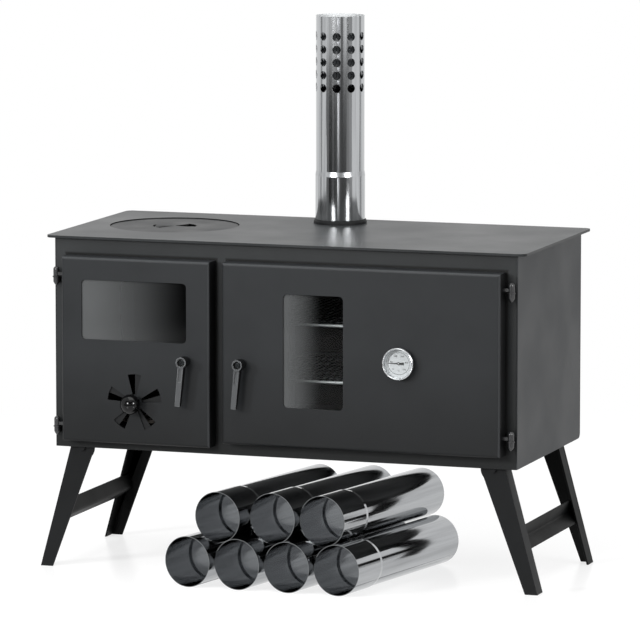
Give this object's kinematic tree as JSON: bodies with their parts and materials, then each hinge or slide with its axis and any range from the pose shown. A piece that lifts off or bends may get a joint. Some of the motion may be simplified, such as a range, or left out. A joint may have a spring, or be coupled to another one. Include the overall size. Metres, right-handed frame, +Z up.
{
  "type": "tent wood stove",
  "caption": "Sheet-steel camping wood stove with a glazed firebox, a glazed oven with racks and a thermometer, a cooking lid, folding legs and spare chimney sections below.",
  "frame": {"origin": "on the floor, under the middle of the box that holds the stove and its stack of spare sections", "axes": "+X to the right seen from the front, +Y to the back, +Z up; the doors face -Y"},
  "size_m": [0.848, 0.477, 0.8903],
  "materials": {
    "body_paint": "matt heat-resistant black",
    "door_paint": "matt heat-resistant black",
    "plate_paint": "matt dark grey, catches the light",
    "leg_paint": "matt heat-resistant black",
    "liner_steel": "plain sheet steel",
    "stainless": "polished stainless steel",
    "bright_steel": "zinc-plated steel",
    "hinge_steel": "blackened steel",
    "cast_grate": "raw steel, heat stained",
    "glass": "clear heat-resistant glass, smoked by use",
    "dial_glass": "clear glass",
    "rope": "woven glass-fibre rope",
    "handle_black": "satin black",
    "knob_black": "polished black",
    "dial_white": "white printed dial",
    "needle_black": "black"
  },
  "bodies": {
    "stove": {"front_frame": "body_paint", "left_panel": "body_paint", "right_panel": "body_paint", "back_panel": "body_paint", "bottom_panel": "body_paint", "top_plate": "plate_paint", "lid_ring": "leg_paint", "flue_collar": "leg_paint", "firebox_grate": "cast_grate", "grate_rails": "cast_grate", "oven_left_wall": "liner_steel", "oven_right_wall": "liner_steel", "oven_floor": "liner_steel", "oven_roof": "liner_steel", "oven_back": "liner_steel", "rack_runners": "liner_steel", "firebox_hinge_pins": "hinge_steel", "oven_hinge_pins": "hinge_steel", "leg_brackets": "leg_paint", "leg_bolts": "leg_paint"},
    "cook_lid": {"cook_lid": "plate_paint"},
    "chimney": {"chimney_pipe": "stainless"},
    "upper_rack": {"upper_rack": "bright_steel"},
    "lower_rack": {"lower_rack": "bright_steel"},
    "firebox_door": {"firebox_door": "door_paint", "firebox_glass": "glass", "firebox_glass_clips": "bright_steel", "firebox_seal": "rope", "firebox_hinge_knuckles": "hinge_steel"},
    "air_damper": {"damper_disc": "door_paint", "damper_knob": "knob_black", "damper_stud": "bright_steel"},
    "firebox_latch": {"firebox_handle": "handle_black", "firebox_latch": "bright_steel"},
    "oven_door": {"oven_door": "door_paint", "oven_glass": "glass", "oven_glass_clips": "bright_steel", "oven_seal": "rope", "oven_hinge_knuckles": "hinge_steel", "thermometer_case": "bright_steel", "thermometer_dial": "dial_white", "thermometer_glass": "dial_glass"},
    "oven_latch": {"oven_handle": "handle_black", "oven_latch": "bright_steel"},
    "thermometer_needle": {"thermometer_needle": "needle_black"},
    "left_legs": {"left_front_leg": "leg_paint", "left_rear_leg": "leg_paint", "left_crossbar": "leg_paint"},
    "right_legs": {"right_front_leg": "leg_paint", "right_rear_leg": "leg_paint", "right_crossbar": "leg_paint"},
    "spare_1": {"spare_pipe_1": "stainless"},
    "spare_2": {"spare_pipe_2": "stainless"},
    "spare_3": {"spare_pipe_3": "stainless"},
    "spare_4": {"spare_pipe_4": "stainless"},
    "spare_5": {"spare_pipe_5": "stainless"},
    "spare_6": {"spare_pipe_6": "stainless"},
    "spare_7": {"spare_pipe_7": "stainless"}
  },
  "joints": [
    {"name": "lid_lift", "type": "slide", "parent": "stove", "child": "cook_lid", "axis": [0, 0, 1], "range_m": [0, 0.06]},
    {"name": "chimney_lift", "type": "slide", "parent": "stove", "child": "chimney", "axis": [0, 0, 1], "range_m": [0, 0.08]},
    {"name": "upper_rack_slide", "type": "slide", "parent": "stove", "child": "upper_rack", "axis": [0, -1, 0], "range_m": [0, 0.04]},
    {"name": "lower_rack_slide", "type": "slide", "parent": "stove", "child": "lower_rack", "axis": [0, -1, 0], "range_m": [0, 0.04]},
    {"name": "firebox_door_hinge", "type": "hinge", "parent": "stove", "child": "firebox_door", "pos_m": [-0.385, -0.1435, 0.3655], "axis": [0, 0, -1], "range_deg": [0, 165]},
    {"name": "oven_door_hinge", "type": "hinge", "parent": "stove", "child": "oven_door", "pos_m": [0.385, -0.1435, 0.3695], "axis": [0, 0, 1], "range_deg": [0, 165]},
    {"name": "firebox_latch_turn", "type": "hinge", "parent": "firebox_door", "child": "firebox_latch", "pos_m": [-0.15575, -0.1615, 0.355], "axis": [0, 1, 0], "range_deg": [0, 90]},
    {"name": "oven_latch_turn", "type": "hinge", "parent": "oven_door", "child": "oven_latch", "pos_m": [-0.06025, -0.1615, 0.355], "axis": [0, -1, 0], "range_deg": [0, 90]},
    {"name": "air_damper_turn", "type": "hinge", "parent": "firebox_door", "child": "air_damper", "pos_m": [-0.244, -0.1615, 0.283], "axis": [0, -1, 0], "range_deg": [-14, 22]},
    {"name": "needle_turn", "type": "hinge", "parent": "oven_door", "child": "thermometer_needle", "pos_m": [0.206, -0.1615, 0.368], "axis": [0, 1, 0], "range_deg": [-45, 225]},
    {"name": "left_legs_fold", "type": "hinge", "parent": "stove", "child": "left_legs", "pos_m": [-0.3495, 0.047, 0.199], "axis": [0, -1, 0], "range_deg": [0, 100]},
    {"name": "right_legs_fold", "type": "hinge", "parent": "stove", "child": "right_legs", "pos_m": [0.3495, 0.047, 0.199], "axis": [0, 1, 0], "range_deg": [0, 100]},
    {"name": "spare_1_draw", "type": "slide", "parent": "stove", "child": "spare_1", "axis": [-0.1857, -0.9826, 0], "range_m": [0, 0.3]},
    {"name": "spare_2_draw", "type": "slide", "parent": "stove", "child": "spare_2", "axis": [-0.1857, -0.9826, 0], "range_m": [0, 0.3]},
    {"name": "spare_3_draw", "type": "slide", "parent": "stove", "child": "spare_3", "axis": [-0.1857, -0.9826, 0], "range_m": [0, 0.3]},
    {"name": "spare_4_draw", "type": "slide", "parent": "stove", "child": "spare_4", "axis": [-0.1857, -0.9826, 0], "range_m": [0, 0.3]},
    {"name": "spare_5_draw", "type": "slide", "parent": "stove", "child": "spare_5", "axis": [-0.1857, -0.9826, 0], "range_m": [0, 0.3]},
    {"name": "spare_6_draw", "type": "slide", "parent": "stove", "child": "spare_6", "axis": [-0.1857, -0.9826, 0], "range_m": [0, 0.3]},
    {"name": "spare_7_draw", "type": "slide", "parent": "stove", "child": "spare_7", "axis": [-0.1857, -0.9826, 0], "range_m": [0, 0.3]}
  ]
}
